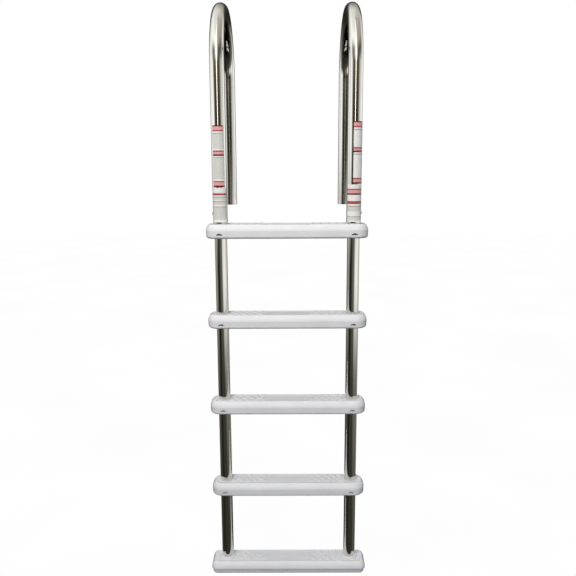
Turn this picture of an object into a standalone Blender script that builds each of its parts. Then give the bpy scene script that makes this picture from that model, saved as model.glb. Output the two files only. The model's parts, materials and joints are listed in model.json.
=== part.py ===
"""Stainless steel pool and dock ladder: two hooked handrails that telescope over two straight lower
rails, four moulded treads and a longer moulded foot tread, with their bushes, plugs, screws and labels.

Metres, +Z up. The origin is the centre of the foot tread's underside, in the plane of the rails.
The climber stands on the -Y side, +X is the climber's right, and the handrails hook over to +Y.
"""

import math

import bmesh
import bpy

# ---- Driving dimensions ---------------------------------------------------------------------------

TREAD_PITCH = 0.3048  # 12 in from tread to tread
TREAD_COUNT = 4  # upper treads, above the foot tread
RAIL_SPACING = 0.4445  # between the rails' centre lines
TUBE_WALL = 0.0015
RAIL_RADIUS = 0.02065  # 1-5/8 in tube
HANDRAIL_RADIUS = 0.02415  # 1.9 in tube
HOOK_DEPTH = 0.400  # front leg to back leg, centre to centre
HOOK_RISE = 0.7127  # from the top tread to the top of the hook's centre line
BACK_LEG_GAP = 0.042  # from the top tread up to the back legs' cut ends
RAIL_OVERLAP = 0.280  # how far a lower rail reaches up inside its handrail

TREAD_LENGTH = 0.540
TREAD_FRONT = 0.052  # from the rails' plane to the tread's nose
TREAD_BACK = 0.040
TREAD_HEIGHT = 0.047
FOOT_LENGTH = 0.556
FOOT_HEIGHT = 0.047
SHELL_WALL = 0.003
RIB_THICKNESS = 0.004
RIB_PLACES = (-0.140, -0.070, 0.0, 0.070, 0.140)  # across the ladder

FIT_GAP = 0.0003  # between neighbouring pieces
ROUND_SIDES = 24
SOCKET_SIDES = 32

TOP_TREAD_Z = FOOT_HEIGHT + TREAD_COUNT * TREAD_PITCH
RAIL_X = RAIL_SPACING / 2
SIDES = {"left": -1.0, "right": 1.0}

PART_NAME = "pool_dock_ladder"
FULLY_THROUGH = 0.010  # how far a cutter runs past the face that it opens


# ---- Scene and materials --------------------------------------------------------------------------

def clear_scene():
    for obj in list(bpy.data.objects):
        bpy.data.objects.remove(obj, do_unlink=True)


def new_collection(name):
    collection = bpy.data.collections.new(name)
    bpy.context.scene.collection.children.link(collection)
    return collection


def material(name, colour, roughness, metallic=0.0):
    mat = bpy.data.materials.new(name)
    mat.use_nodes = True
    shader = mat.node_tree.nodes["Principled BSDF"]
    shader.inputs["Base Color"].default_value = (*colour, 1.0)
    shader.inputs["Roughness"].default_value = roughness
    shader.inputs["Metallic"].default_value = metallic
    mat.diffuse_color = (*colour, 1.0)
    return mat


clear_scene()
PARTS = new_collection(PART_NAME)
CUTTERS = new_collection("cutters")

STEEL = material("polished_stainless_tube", (0.62, 0.61, 0.58), 0.12, 1.0)
SCREW_STEEL = material("stainless_screw", (0.55, 0.55, 0.54), 0.3, 1.0)
RESIN = material("white_tread_resin", (0.80, 0.80, 0.81), 0.45)
NYLON = material("grey_nylon", (0.35, 0.35, 0.36), 0.5)
VINYL = material("label_vinyl", (0.85, 0.78, 0.77), 0.4)


# ---- Building helpers -----------------------------------------------------------------------------

def mesh_object(name, mesh, collection):
    obj = bpy.data.objects.new(name, mesh)
    collection.objects.link(obj)
    return obj


def from_bmesh(name, bm, collection):
    mesh = bpy.data.meshes.new(name)
    bm.to_mesh(mesh)
    bm.free()
    return mesh_object(name, mesh, collection)


def as_cutter(obj):
    obj.hide_render = True
    obj.display_type = "WIRE"
    return obj


def cut(target, cutter):
    boolean = target.modifiers.new("cut_" + cutter.name, "BOOLEAN")
    boolean.operation = "DIFFERENCE"
    boolean.solver = "EXACT"
    boolean.object = as_cutter(cutter)


def join(target, addition):
    boolean = target.modifiers.new("join_" + addition.name, "BOOLEAN")
    boolean.operation = "UNION"
    boolean.solver = "EXACT"
    boolean.object = as_cutter(addition)


def finished_mesh(obj):
    """The object's mesh with its modifiers worked in; the object itself is removed."""
    bpy.context.view_layer.update()
    evaluated = obj.evaluated_get(bpy.context.evaluated_depsgraph_get())
    mesh = bpy.data.meshes.new_from_object(evaluated)
    bpy.data.objects.remove(obj, do_unlink=True)
    return mesh


def place(name, mesh, mat, location, parent=None, rotation=(0.0, 0.0, 0.0)):
    """Puts a finished mesh in the part as the named node, at a world location."""
    obj = mesh_object(name, mesh, PARTS)
    if not mesh.materials:
        mesh.materials.append(mat)
    mesh.shade_smooth()
    mesh.set_sharp_from_angle(angle=math.radians(30))
    obj.rotation_euler = rotation
    if parent is None:
        obj.location = location
    else:
        obj.parent = parent
        obj.location = [a - b for a, b in zip(location, parent.location)]
    return obj


def turned(name, profile, closed=False, angle=math.tau, steps=ROUND_SIDES):
    """A profile of (radius, height) points turned about Z; it runs down the outer side."""
    bm = bmesh.new()
    points = [bm.verts.new((radius, 0.0, height)) for radius, height in profile]
    for start, end in zip(points, points[1:]):
        bm.edges.new((start, end))
    if closed:
        bm.edges.new((points[-1], points[0]))
    obj = from_bmesh(name, bm, CUTTERS)
    screw = obj.modifiers.new("turn", "SCREW")
    screw.angle = angle
    screw.steps = steps
    screw.render_steps = steps
    screw.use_merge_vertices = True
    screw.merge_threshold = 0.00001
    return obj


def cylinder(name, radius, low, high, sides=SOCKET_SIDES):
    """A closed cylinder on Z, from height low to height high."""
    return turned(name, [(0, high), (radius, high), (radius, low), (0, low)], steps=sides)


def ring(name, outer, inner, low, high):
    profile = [(outer, high), (outer, low), (inner, low), (inner, high)]
    return turned(name, profile, closed=True)


def block(name, low, high):
    bm = bmesh.new()
    bmesh.ops.create_cube(bm, size=1.0)
    for vert in bm.verts:
        vert.co = [lo + (co + 0.5) * (hi - lo) for co, lo, hi in zip(vert.co, low, high)]
    return from_bmesh(name, bm, CUTTERS)


# ---- Tubes ----------------------------------------------------------------------------------------

SCREW_HOLE_RADIUS = 0.0032
TREAD_SCREW_DROP = 0.0325  # from a tread's top down to its screws
FOOT_SCREW_HEIGHT = 0.028
DRILL_LENGTH = 0.014
SOCKET_FLOOR = 0.005  # the foot tread's blind sockets
PLUG_FLANGE = 0.003
RAIL_FOOT = SOCKET_FLOOR + FIT_GAP + PLUG_FLANGE + FIT_GAP
RAIL_TOP = TOP_TREAD_Z + RAIL_OVERLAP

LOCK_SCREW_HEIGHT = 0.034  # above the top tread
LOCK_HOLE_RADIUS = 0.0028


def hole(name, radius, location, rotation, length=DRILL_LENGTH, sides=12):
    """A drill along its own Z, with its middle at the location."""
    drill = cylinder(name, radius, -length / 2, length / 2, sides)
    drill.location = location
    drill.rotation_euler = rotation
    return drill


TO_FRONT = (math.radians(90), 0.0, 0.0)  # turns a piece's +Z to -Y
TO_BACK = (math.radians(-90), 0.0, 0.0)  # turns a piece's +Z to +Y
TO_RIGHT = (0.0, math.radians(90), 0.0)  # turns a piece's +Z to +X


def lower_rail_mesh():
    """A straight tube with a screw hole at each tread, its base at the rail's own origin."""
    inner = RAIL_RADIUS - TUBE_WALL
    rail = ring("rail_form", RAIL_RADIUS, inner, 0.0, RAIL_TOP - RAIL_FOOT)
    for level in range(1, TREAD_COUNT + 1):
        height = FOOT_HEIGHT + level * TREAD_PITCH - TREAD_SCREW_DROP - RAIL_FOOT
        cut(rail, hole(f"rail_drill_{level}", SCREW_HOLE_RADIUS, (0, -RAIL_RADIUS, height), TO_FRONT))
    height = FOOT_SCREW_HEIGHT - RAIL_FOOT
    cut(rail, hole("rail_drill_foot", SCREW_HOLE_RADIUS, (0, RAIL_RADIUS, height), TO_FRONT))
    return finished_mesh(rail)


HANDRAIL_FOOT = TOP_TREAD_Z + FIT_GAP
BACK_LEG_END = TOP_TREAD_Z + BACK_LEG_GAP
BEND_RADIUS = HOOK_DEPTH / 2
BEND_STEPS = 20
BEND_Z = TOP_TREAD_Z + HOOK_RISE - BEND_RADIUS


def hook_points():
    """The hook's centre line from its foot: straight up, a half circle back, straight down."""
    start = (0.0, 0.0, 0.0)
    bend_height = BEND_Z - HANDRAIL_FOOT
    arc = []
    for step in range(BEND_STEPS + 1):
        turn = math.pi * step / BEND_STEPS
        y = BEND_RADIUS * (1.0 - math.cos(turn))
        arc.append((0.0, y, bend_height + BEND_RADIUS * math.sin(turn)))
    return [start, *arc, (0.0, HOOK_DEPTH, BACK_LEG_END - HANDRAIL_FOOT)]


def handrail_mesh(side):
    """The bent tube, open at both ends, with the lock screw's hole on its outboard side."""
    points = hook_points()
    curve = bpy.data.curves.new("hook_line", "CURVE")
    curve.dimensions = "3D"
    curve.bevel_depth = HANDRAIL_RADIUS
    curve.bevel_resolution = (ROUND_SIDES - 4) // 2
    spline = curve.splines.new("POLY")
    spline.points.add(len(points) - 1)
    for point, co in zip(spline.points, points):
        point.co = (*co, 1.0)
    skin = finished_mesh(mesh_object("hook_skin", curve, CUTTERS))
    tube = mesh_object("hook_form", skin, CUTTERS)
    wall = tube.modifiers.new("wall", "SOLIDIFY")
    wall.thickness = TUBE_WALL
    wall.offset = -1.0
    wall.use_even_offset = True
    at = (side * HANDRAIL_RADIUS, 0.0, LOCK_SCREW_HEIGHT - FIT_GAP)
    cut(tube, hole("lock_drill", LOCK_HOLE_RADIUS, at, TO_RIGHT))
    return finished_mesh(tube)


# ---- Treads ---------------------------------------------------------------------------------------

BOSS_RADIUS = 0.026
BORE_RADIUS = RAIL_RADIUS + FIT_GAP
NOTCH_RADIUS = 0.0135
NOTCH_LENGTH = 0.033
NOTCH_MIDDLE = BOSS_RADIUS + FIT_GAP + NOTCH_LENGTH / 2  # it starts just clear of the boss
NOTCH_ARCH_DROP = 0.0425  # from the tread's top to the arch's centre
OPEN_BELOW = 0.005  # how far a hollow runs past the rim
HOLLOW_EDGE = 0.007
FOOT_HOLLOW_EDGE = 0.004


def moulded_block(name, half_x, front, back, low, high, corner, edge, lean, inset=0.0):
    """A block with round corners and a rounded top edge, whose sides lean in below their middle."""
    bm = bmesh.new()
    bmesh.ops.create_cube(bm, size=1.0)
    for vert in bm.verts:
        vert.co.x *= 2 * (half_x - inset)
        vert.co.y = (back - inset) if vert.co.y > 0 else -(front - inset)
        vert.co.z = high if vert.co.z > 0 else low
    upright = [e for e in bm.edges if abs(e.verts[0].co.z - e.verts[1].co.z) > 0.001]
    bmesh.ops.bevel(bm, geom=upright, offset=corner - inset, segments=4, profile=0.5, affect="EDGES")
    rim = [e for e in bm.edges if all(v.co.z > high - 1e-6 for v in e.verts)]
    bmesh.ops.bevel(bm, geom=rim, offset=edge, segments=3, profile=0.5, affect="EDGES")
    lean_from, lean_to, amount = lean
    for vert in bm.verts:
        share = max(0.0, (lean_from - vert.co.z) / (lean_from - lean_to))
        vert.co.x -= math.copysign(amount * share, vert.co.x)
        vert.co.y -= math.copysign(amount * share, vert.co.y)
    return from_bmesh(name, bm, CUTTERS)


def hollow(name, shape, low, high):
    """The hollow under a moulded block, less the sockets' bosses and the ribs that stay standing."""
    core = moulded_block(name, **shape, low=low, high=high, inset=SHELL_WALL)
    for side, sign in SIDES.items():
        boss = cylinder(f"{name}_boss_{side}", BOSS_RADIUS, low - FULLY_THROUGH, high + FULLY_THROUGH)
        boss.location.x = sign * RAIL_X
        cut(core, boss)
    half = RIB_THICKNESS / 2
    reach = TREAD_FRONT + FULLY_THROUGH
    for index, x in enumerate(RIB_PLACES):
        near = (x - half, -reach, low - FULLY_THROUGH)
        far = (x + half, reach, high + FULLY_THROUGH)
        cut(core, block(f"{name}_rib_{index}", near, far))
    return core


def tread_mesh():
    """An upper tread, its top at z = 0: a shell open below, with a socket through it at each rail."""
    shape = dict(
        half_x=TREAD_LENGTH / 2,
        front=TREAD_FRONT,
        back=TREAD_BACK,
        corner=0.028,
        edge=0.010,
        lean=(-0.018, -TREAD_HEIGHT, 0.0035),
    )
    tread = moulded_block("tread_form", **shape, low=-TREAD_HEIGHT, high=0.0)
    shape["edge"] = HOLLOW_EDGE
    cut(tread, hollow("tread_hollow", shape, -TREAD_HEIGHT - OPEN_BELOW, -SHELL_WALL))
    for side, sign in SIDES.items():
        x = sign * RAIL_X
        bore = cylinder(f"tread_bore_{side}", BORE_RADIUS, -TREAD_HEIGHT - FULLY_THROUGH, FULLY_THROUGH)
        bore.location.x = x
        cut(tread, bore)
        at = (x, -NOTCH_MIDDLE, -NOTCH_ARCH_DROP)
        cut(tread, hole(f"tread_notch_{side}", NOTCH_RADIUS, at, TO_FRONT, NOTCH_LENGTH))
        at = (x, -BOSS_RADIUS, -TREAD_SCREW_DROP)
        cut(tread, hole(f"tread_drill_{side}", SCREW_HOLE_RADIUS, at, TO_FRONT))
    return finished_mesh(tread)


FOOT_COLLAR_RADIUS = 0.0275
FOOT_COLLAR_HEIGHT = 0.005
COLLAR_ROOT = 0.0015  # how deep a collar sits in the top
FOOT_NOTCH_LENGTH = 0.022
FOOT_NOTCH_MIDDLE = BOSS_RADIUS + FIT_GAP + FOOT_NOTCH_LENGTH / 2


def foot_tread_mesh():
    """The foot tread, its underside at z = 0, with collars and blind sockets for the rails' ends."""
    shape = dict(
        half_x=FOOT_LENGTH / 2,
        front=TREAD_FRONT,
        back=TREAD_BACK,
        corner=0.016,
        edge=0.007,
        lean=(0.016, 0.0, 0.003),
    )
    foot = moulded_block("foot_form", **shape, low=0.0, high=FOOT_HEIGHT)
    shape["edge"] = FOOT_HOLLOW_EDGE
    cut(foot, hollow("foot_hollow", shape, -OPEN_BELOW, FOOT_HEIGHT - SHELL_WALL))
    for side, sign in SIDES.items():
        x = sign * RAIL_X
        collar_top = FOOT_HEIGHT + FOOT_COLLAR_HEIGHT
        collar = cylinder(f"foot_collar_{side}", FOOT_COLLAR_RADIUS, FOOT_HEIGHT - COLLAR_ROOT, collar_top)
        collar.location.x = x
        join(foot, collar)
        bore = cylinder(f"foot_bore_{side}", BORE_RADIUS, SOCKET_FLOOR, collar_top + FULLY_THROUGH)
        bore.location.x = x
        cut(foot, bore)
        at = (x, FOOT_NOTCH_MIDDLE, FOOT_SCREW_HEIGHT)
        cut(foot, hole(f"foot_notch_{side}", NOTCH_RADIUS, at, TO_FRONT, FOOT_NOTCH_LENGTH))
        at = (x, BOSS_RADIUS, FOOT_SCREW_HEIGHT)
        cut(foot, hole(f"foot_drill_{side}", SCREW_HOLE_RADIUS, at, TO_FRONT))
    return finished_mesh(foot)


# ---- Bushes, plugs, screws and labels -------------------------------------------------------------

BUSH_LENGTH = 0.060
BUSH_FROM = 0.004  # above the handrail's foot
PLUG_SPIGOT = 0.014
PLUG_WALL = 0.003
TOP_PLUG_GAP = 0.00045  # round its flange, which slides in the handrail
SCREW_STEPS = 12
TREAD_SCREW = dict(shank=0.0029, length=0.0115, head=0.0052, head_height=0.0032)
LOCK_SCREW = dict(shank=0.0025, length=0.0032, head=0.0046, head_height=0.0022)
LABEL_FILM = 0.0002
LABEL_LIFT = 0.00025  # the film's inner face over the tube


def bush_mesh(side):
    """The sleeve between a handrail's foot and the lower rail inside it."""
    outer = HANDRAIL_RADIUS - TUBE_WALL - FIT_GAP
    bush = ring("bush_form", outer, RAIL_RADIUS + FIT_GAP, 0.0, BUSH_LENGTH)
    at = (side * outer, 0.0, LOCK_SCREW_HEIGHT - FIT_GAP - BUSH_FROM)
    cut(bush, hole("bush_drill", LOCK_HOLE_RADIUS, at, TO_RIGHT))
    return finished_mesh(bush)


def plug_mesh(flange_radius):
    """A push-in tube plug: its flange above z = 0 and its hollow spigot below."""
    spigot = RAIL_RADIUS - TUBE_WALL - FIT_GAP
    core = spigot - PLUG_WALL
    profile = [
        (0.0, PLUG_FLANGE),
        (flange_radius, PLUG_FLANGE),
        (flange_radius, 0.0),
        (spigot, 0.0),
        (spigot, -PLUG_SPIGOT),
        (core, -PLUG_SPIGOT),
        (core, 0.0),
        (0.0, 0.0),
    ]
    return finished_mesh(turned("plug_form", profile))


def screw_mesh(shank, length, head, head_height):
    """A button-head screw on Z: its head above z = 0 and its shank below."""
    profile = [
        (0.0, head_height),
        (head * 0.6, head_height * 0.9),
        (head, head_height * 0.2),
        (head, 0.0),
        (shank, 0.0),
        (shank, -length),
        (0.0, -length),
    ]
    return finished_mesh(turned("screw_form", profile, steps=SCREW_STEPS))


def label_mesh(height, width, facing):
    """A film wrapped on the handrail; facing is the angle of its middle, seen from above, from +X."""
    radius = HANDRAIL_RADIUS + LABEL_LIFT
    sweep = width / radius
    film = turned("label_form", [(radius, height), (radius, 0.0)], angle=sweep, steps=12)
    solidify = film.modifiers.new("film", "SOLIDIFY")
    solidify.thickness = LABEL_FILM
    solidify.offset = 1.0
    film.rotation_euler.z = facing - sweep / 2
    bpy.context.view_layer.update()
    turn = film.matrix_world.copy()
    mesh = finished_mesh(film)
    mesh.transform(turn)
    return mesh


# ---- Assembly -------------------------------------------------------------------------------------

LABELS = {
    # name: (height above the top tread, height, width, side, angle outboard from the front)
    "left_upper_label": (0.121, 0.197, 0.040, "left", 0.0),
    "left_lower_label": (0.006, 0.113, 0.056, "left", 0.0),
    "right_upper_label": (0.130, 0.199, 0.040, "right", math.radians(34)),
    "right_lower_label": (0.006, 0.122, 0.056, "right", 0.0),
}
FRONT = math.radians(-90)  # the -Y side, as an angle from +X


def build_lower_section():
    """The lower rails with their plugs, and the treads with their screws."""
    rail = lower_rail_mesh()
    top_plug = plug_mesh(HANDRAIL_RADIUS - TUBE_WALL - TOP_PLUG_GAP)
    foot_plug = plug_mesh(RAIL_RADIUS)
    foot = place("foot_tread", foot_tread_mesh(), RESIN, (0, 0, 0))
    for side, sign in SIDES.items():
        x = sign * RAIL_X
        place(f"{side}_lower_rail", rail, STEEL, (x, 0, RAIL_FOOT), foot)
        top = (x, 0, RAIL_TOP + FIT_GAP)
        bottom = (x, 0, RAIL_FOOT - FIT_GAP)
        place(f"{side}_rail_top_plug", top_plug, NYLON, top, foot)
        place(f"{side}_rail_foot_plug", foot_plug, NYLON, bottom, foot, (math.pi, 0, 0))
    tread = tread_mesh()
    tread_screw = screw_mesh(**TREAD_SCREW)
    seat = BOSS_RADIUS + FIT_GAP
    for number in range(1, TREAD_COUNT + 1):
        top = TOP_TREAD_Z - (number - 1) * TREAD_PITCH
        place(f"tread_{number}", tread, RESIN, (0, 0, top), foot)
        for side, sign in SIDES.items():
            at = (sign * RAIL_X, -seat, top - TREAD_SCREW_DROP)
            place(f"tread_{number}_{side}_screw", tread_screw, SCREW_STEEL, at, foot, TO_FRONT)
    for side, sign in SIDES.items():
        at = (sign * RAIL_X, seat, FOOT_SCREW_HEIGHT)
        place(f"foot_tread_{side}_screw", tread_screw, SCREW_STEEL, at, foot, TO_BACK)


def build_handrails():
    """Each handrail with what rides on it, in its own axis: the slide up and down its lower rail."""
    lock_screw = screw_mesh(**LOCK_SCREW)
    for side, sign in SIDES.items():
        x = sign * RAIL_X
        foot = (x, 0, HANDRAIL_FOOT)
        handrail = place(f"{side}_handrail", handrail_mesh(sign), STEEL, foot)
        place(f"{side}_slip_bush", bush_mesh(sign), NYLON, (x, 0, HANDRAIL_FOOT + BUSH_FROM), handrail)
        at = (x + sign * (HANDRAIL_RADIUS + FIT_GAP), 0, TOP_TREAD_Z + LOCK_SCREW_HEIGHT)
        outboard = (0, sign * math.radians(90), 0)
        place(f"{side}_lock_screw", lock_screw, SCREW_STEEL, at, handrail, outboard)
    for name, (above, height, width, side, outboard) in LABELS.items():
        sign = SIDES[side]
        handrail = bpy.data.objects[f"{side}_handrail"]
        mesh = label_mesh(height, width, FRONT + sign * outboard)
        place(name, mesh, VINYL, (sign * RAIL_X, 0, TOP_TREAD_Z + above), handrail)


def remove_cutters():
    for obj in list(CUTTERS.objects):
        bpy.data.objects.remove(obj, do_unlink=True)


build_lower_section()
build_handrails()
remove_cutters()
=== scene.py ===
# %% [markdown]
# # A pool and dock ladder: polished tube, moulded treads
#
# The ladder is two steel handrails that hook over backwards, two straight rails that run down
# through five moulded treads, and the small pieces that hold them together. The frame gives every
# size and every body that moves. This lesson makes the fine surfaces and the finishes around it.
#
# Every new surface is worked out as one array of points: a function of two parameters on a grid.
# That keeps each shape readable as a formula, and no loop ever visits single vertices.

# %% Load the frame and keep its size
import json
import math

import bmesh
import bpy
import numpy as np
from mathutils import Euler, Matrix, Vector


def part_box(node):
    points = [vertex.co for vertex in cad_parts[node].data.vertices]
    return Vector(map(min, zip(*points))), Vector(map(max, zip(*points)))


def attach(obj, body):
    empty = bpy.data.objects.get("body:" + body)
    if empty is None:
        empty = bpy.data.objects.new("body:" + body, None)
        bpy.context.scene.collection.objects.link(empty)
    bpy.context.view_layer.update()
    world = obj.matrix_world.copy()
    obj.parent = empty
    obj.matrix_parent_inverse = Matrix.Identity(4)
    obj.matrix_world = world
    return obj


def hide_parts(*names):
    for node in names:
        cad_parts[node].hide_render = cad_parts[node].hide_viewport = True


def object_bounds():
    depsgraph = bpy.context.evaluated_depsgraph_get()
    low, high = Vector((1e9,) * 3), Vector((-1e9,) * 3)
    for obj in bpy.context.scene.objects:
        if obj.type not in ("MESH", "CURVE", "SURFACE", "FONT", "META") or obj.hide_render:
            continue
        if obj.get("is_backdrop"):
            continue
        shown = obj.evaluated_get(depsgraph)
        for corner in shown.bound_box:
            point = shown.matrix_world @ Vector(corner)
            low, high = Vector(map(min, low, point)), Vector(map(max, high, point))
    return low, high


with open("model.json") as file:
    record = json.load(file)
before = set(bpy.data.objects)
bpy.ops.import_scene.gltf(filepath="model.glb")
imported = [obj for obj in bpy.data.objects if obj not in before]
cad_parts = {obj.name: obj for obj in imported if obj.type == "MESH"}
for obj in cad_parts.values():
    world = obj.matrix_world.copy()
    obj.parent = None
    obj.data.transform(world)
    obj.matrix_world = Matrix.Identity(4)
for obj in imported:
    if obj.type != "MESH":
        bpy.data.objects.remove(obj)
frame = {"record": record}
cad_low, cad_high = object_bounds()
print("frame box in mm:", [round(1000 * (b - a), 1) for a, b in zip(cad_low, cad_high)])

# %% [markdown]
# ## The sizes that the new surfaces follow
#
# A place worked out from the frame stays right when the frame changes, so nothing is typed twice.
# The rails' spacing and every tread's height come from the boxes of the frame's own pieces.

# %% Sizes from the frame
MM = 0.001
SIDES = {"left": -1.0, "right": 1.0}
TREADS = ["tread_1", "tread_2", "tread_3", "tread_4"]

rail_low, rail_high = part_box("right_lower_rail")
RAIL_X = (rail_low.x + rail_high.x) / 2
RAIL_RADIUS = (rail_high.x - rail_low.x) / 2

hand_low, hand_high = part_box("right_handrail")
HAND_RADIUS = -hand_low.y
HOOK_DEPTH = hand_high.y - HAND_RADIUS
BEND_RADIUS = HOOK_DEPTH / 2
BEND_Z = hand_high.z - HAND_RADIUS - BEND_RADIUS
mounts = {mount["name"]: mount for mount in frame["record"]["mounts"]}
BACK_LEG_END = mounts["right_deck_end"]["pos_m"][2]

WALL = 1.5 * MM
FIT_GAP = 0.3 * MM
tread_tops = {name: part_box(name)[1].z for name in TREADS}
TOP_TREAD_Z = tread_tops["tread_1"]
TREAD_PITCH = tread_tops["tread_3"] - tread_tops["tread_4"]
FOOT_HEIGHT = tread_tops["tread_4"] - TREAD_PITCH
print(f"rails at x = +-{RAIL_X / MM:.2f} mm")
print(f"tube radii {RAIL_RADIUS / MM:.2f} and {HAND_RADIUS / MM:.2f} mm")
print(f"bend centre at z = {BEND_Z:.4f} m, back legs end at z = {BACK_LEG_END:.4f} m")

# %% [markdown]
# ## From an array of points to a mesh
#
# A grid of points has rows along one parameter and columns along the other. Its faces are the
# little squares between neighbours, so the face list is pure counting. A tube closes in one
# direction, and a hollow tube with its end lips closes in both, like a ring.
#
# Where rows shrink to a point, as at a dome's pole, the points are merged afterwards and the
# faces' directions are worked out again, so that every piece is one closed skin.

# %% Grid to mesh
def grid_faces(rows, columns, wrap_rows, wrap_columns):
    """The squares between neighbouring points, as four indices each: the point itself, the next
    in its row, the one after that in the next row, and the next row's."""
    row = np.arange(rows if wrap_rows else rows - 1)[:, None]
    column = np.arange(columns if wrap_columns else columns - 1)[None, :]
    next_row = (row + 1) % rows
    next_column = (column + 1) % columns
    corners = [
        row * columns + column,
        row * columns + next_column,
        next_row * columns + next_column,
        next_row * columns + column,
    ]
    return np.stack(corners, axis=-1).reshape(-1, 4)


def grid_mesh(name, points, wrap_rows=False, wrap_columns=False, uv=None):
    """A mesh from a rows x columns x 3 array. The flat map, uv, is in metres. It has one row or
    column more than the points where the grid wraps, so that the last faces don't run back to 0."""
    rows, columns = points.shape[:2]
    faces = grid_faces(rows, columns, wrap_rows, wrap_columns)
    mesh = bpy.data.meshes.new(name)
    mesh.vertices.add(rows * columns)
    mesh.vertices.foreach_set("co", points.astype(np.float32).ravel())
    mesh.loops.add(faces.size)
    mesh.loops.foreach_set("vertex_index", faces.astype(np.int32).ravel())
    mesh.polygons.add(len(faces))
    mesh.polygons.foreach_set("loop_start", np.arange(0, faces.size, 4, dtype=np.int32))
    mesh.update(calc_edges=True)
    if uv is not None:
        layer = mesh.uv_layers.new(name="surface")
        corners = grid_faces(*uv.shape[:2], False, False).ravel()
        layer.data.foreach_set("uv", uv.reshape(-1, 2)[corners].astype(np.float32).ravel())
    return mesh


print("a closed ring of 3 rows and 8 columns has", len(grid_faces(3, 8, False, True)), "faces")


# %% Closing, placing and copying a mesh
def close_mesh(mesh):
    """Merges points that fall together and turns every face outwards."""
    bm = bmesh.new()
    bm.from_mesh(mesh)
    bmesh.ops.remove_doubles(bm, verts=bm.verts, dist=0.000002)
    bmesh.ops.dissolve_degenerate(bm, dist=0.000001, edges=bm.edges)
    bmesh.ops.recalc_face_normals(bm, faces=bm.faces)
    bm.to_mesh(mesh)
    bm.free()
    return mesh


def new_piece(name, mesh, material, body, slot, *nodes, sharp=40):
    """Puts a mesh in the scene as the piece that stands for the named frame nodes."""
    mesh.materials.clear()
    mesh.materials.append(material)
    mesh.shade_smooth()
    mesh.set_sharp_from_angle(angle=math.radians(sharp))
    obj = bpy.data.objects.new(name, mesh)
    bpy.context.scene.collection.objects.link(obj)
    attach(obj, body)
    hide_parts(*nodes)
    return obj


def moved(mesh, offset):
    """A copy of a mesh, shifted."""
    copy = mesh.copy()
    copy.transform(Matrix.Translation(offset))
    return copy


# %% [markdown]
# ## Colours and nodes
#
# Colours are picked as they look on a screen, as sRGB hex, but a shader counts in light, which is
# linear. One function turns the one into the other. Another adds a node, sets it up and wires it,
# so that a material reads as a list of steps.

# %% Colour
def linear(hex_colour):
    """An sRGB hex colour such as "#e8e6df" as linear red, green, blue and an alpha of 1."""
    value = np.array([int(hex_colour[i : i + 2], 16) for i in (1, 3, 5)]) / 255
    light = np.where(value <= 0.04045, value / 12.92, ((value + 0.055) / 1.055) ** 2.4)
    return (*light.tolist(), 1.0)


print("the screen's middle grey, #808080, is", round(linear("#808080")[0], 3), "of full light")


# %% Node helpers
def add_node(tree, kind, links=None, values=None, **settings):
    """Adds a node: settings are its own options, values go on its sockets, links come from others."""
    node = tree.nodes.new(kind)
    for key, value in settings.items():
        setattr(node, key, value)
    for socket, value in (values or {}).items():
        node.inputs[socket].default_value = value
    for socket, source in (links or {}).items():
        tree.links.new(source, node.inputs[socket])
    return node


def add_ramp(tree, factor, stops, interpolation="LINEAR"):
    """A colour ramp with (place, hex colour) stops."""
    node = add_node(tree, "ShaderNodeValToRGB", {"Fac": factor})
    ramp = node.color_ramp
    ramp.interpolation = interpolation
    while len(ramp.elements) < len(stops):
        ramp.elements.new(1.0)
    for element, (place, colour) in zip(ramp.elements, stops):
        element.position = place
        element.color = linear(colour)
    return node.outputs["Color"]


def new_material(name, **sockets):
    """A Principled material, with uniform values set on the shader's own sockets."""
    material = bpy.data.materials.new(name)
    material.use_nodes = True
    shader = material.node_tree.nodes["Principled BSDF"]
    for socket, value in sockets.items():
        shader.inputs[socket.replace("_", " ")].default_value = value
    return material, material.node_tree, shader


print("materials in the file so far:", len(bpy.data.materials))

# %% [markdown]
# ## Polished stainless steel
#
# The tubes are grade 304 stainless, welded, ground and buffed lengthwise until they mirror the
# room. A mirror has no colour of its own to speak of: what the eye reads is the room, bent into
# long bands, so this finish needs a smooth tube and very little roughness.
#
# Buffing leaves hair lines along the tube. They are a few hundredths of a millimetre wide, too
# fine to show, so they are drawn about 0.8 mm apart and 60 mm long. They stay faint, and they change
# the roughness and the bump only.

# %% Polished steel
def polished_steel():
    """Buffed 304 tube: warm grey metal, near mirror, with faint hair lines along it."""
    material, tree, shader = new_material(
        "polished_stainless_tube",
        Base_Color=linear("#e2e1dd"),
        Metallic=1.0,
    )
    place = add_node(tree, "ShaderNodeTexCoord").outputs["UV"]
    hair = add_node(tree, "ShaderNodeMapping", {"Vector": place}, {"Scale": (1 / 0.0008, 1 / 0.06, 1)})
    lines = add_node(
        tree, "ShaderNodeTexNoise", {"Vector": hair.outputs["Vector"]}, {"Scale": 1.0, "Detail": 1.0}
    )
    cloud = add_node(tree, "ShaderNodeTexNoise", {"Vector": place}, {"Scale": 1 / 0.045, "Detail": 2.0})
    mixed = add_node(
        tree,
        "ShaderNodeMath",
        {0: lines.outputs["Fac"], 1: cloud.outputs["Fac"]},
        operation="MULTIPLY",
    )
    rough = add_node(
        tree,
        "ShaderNodeMapRange",
        {"Value": mixed.outputs["Value"]},
        {"From Min": 0.1, "From Max": 0.45, "To Min": 0.05, "To Max": 0.085},
    )
    tree.links.new(rough.outputs["Result"], shader.inputs["Roughness"])
    bump = add_node(
        tree,
        "ShaderNodeBump",
        {"Height": lines.outputs["Fac"]},
        {"Strength": 0.012, "Distance": 0.00005},
    )
    tree.links.new(bump.outputs["Normal"], shader.inputs["Normal"])
    return material


STEEL = polished_steel()
print("material:", STEEL.name)

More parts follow.
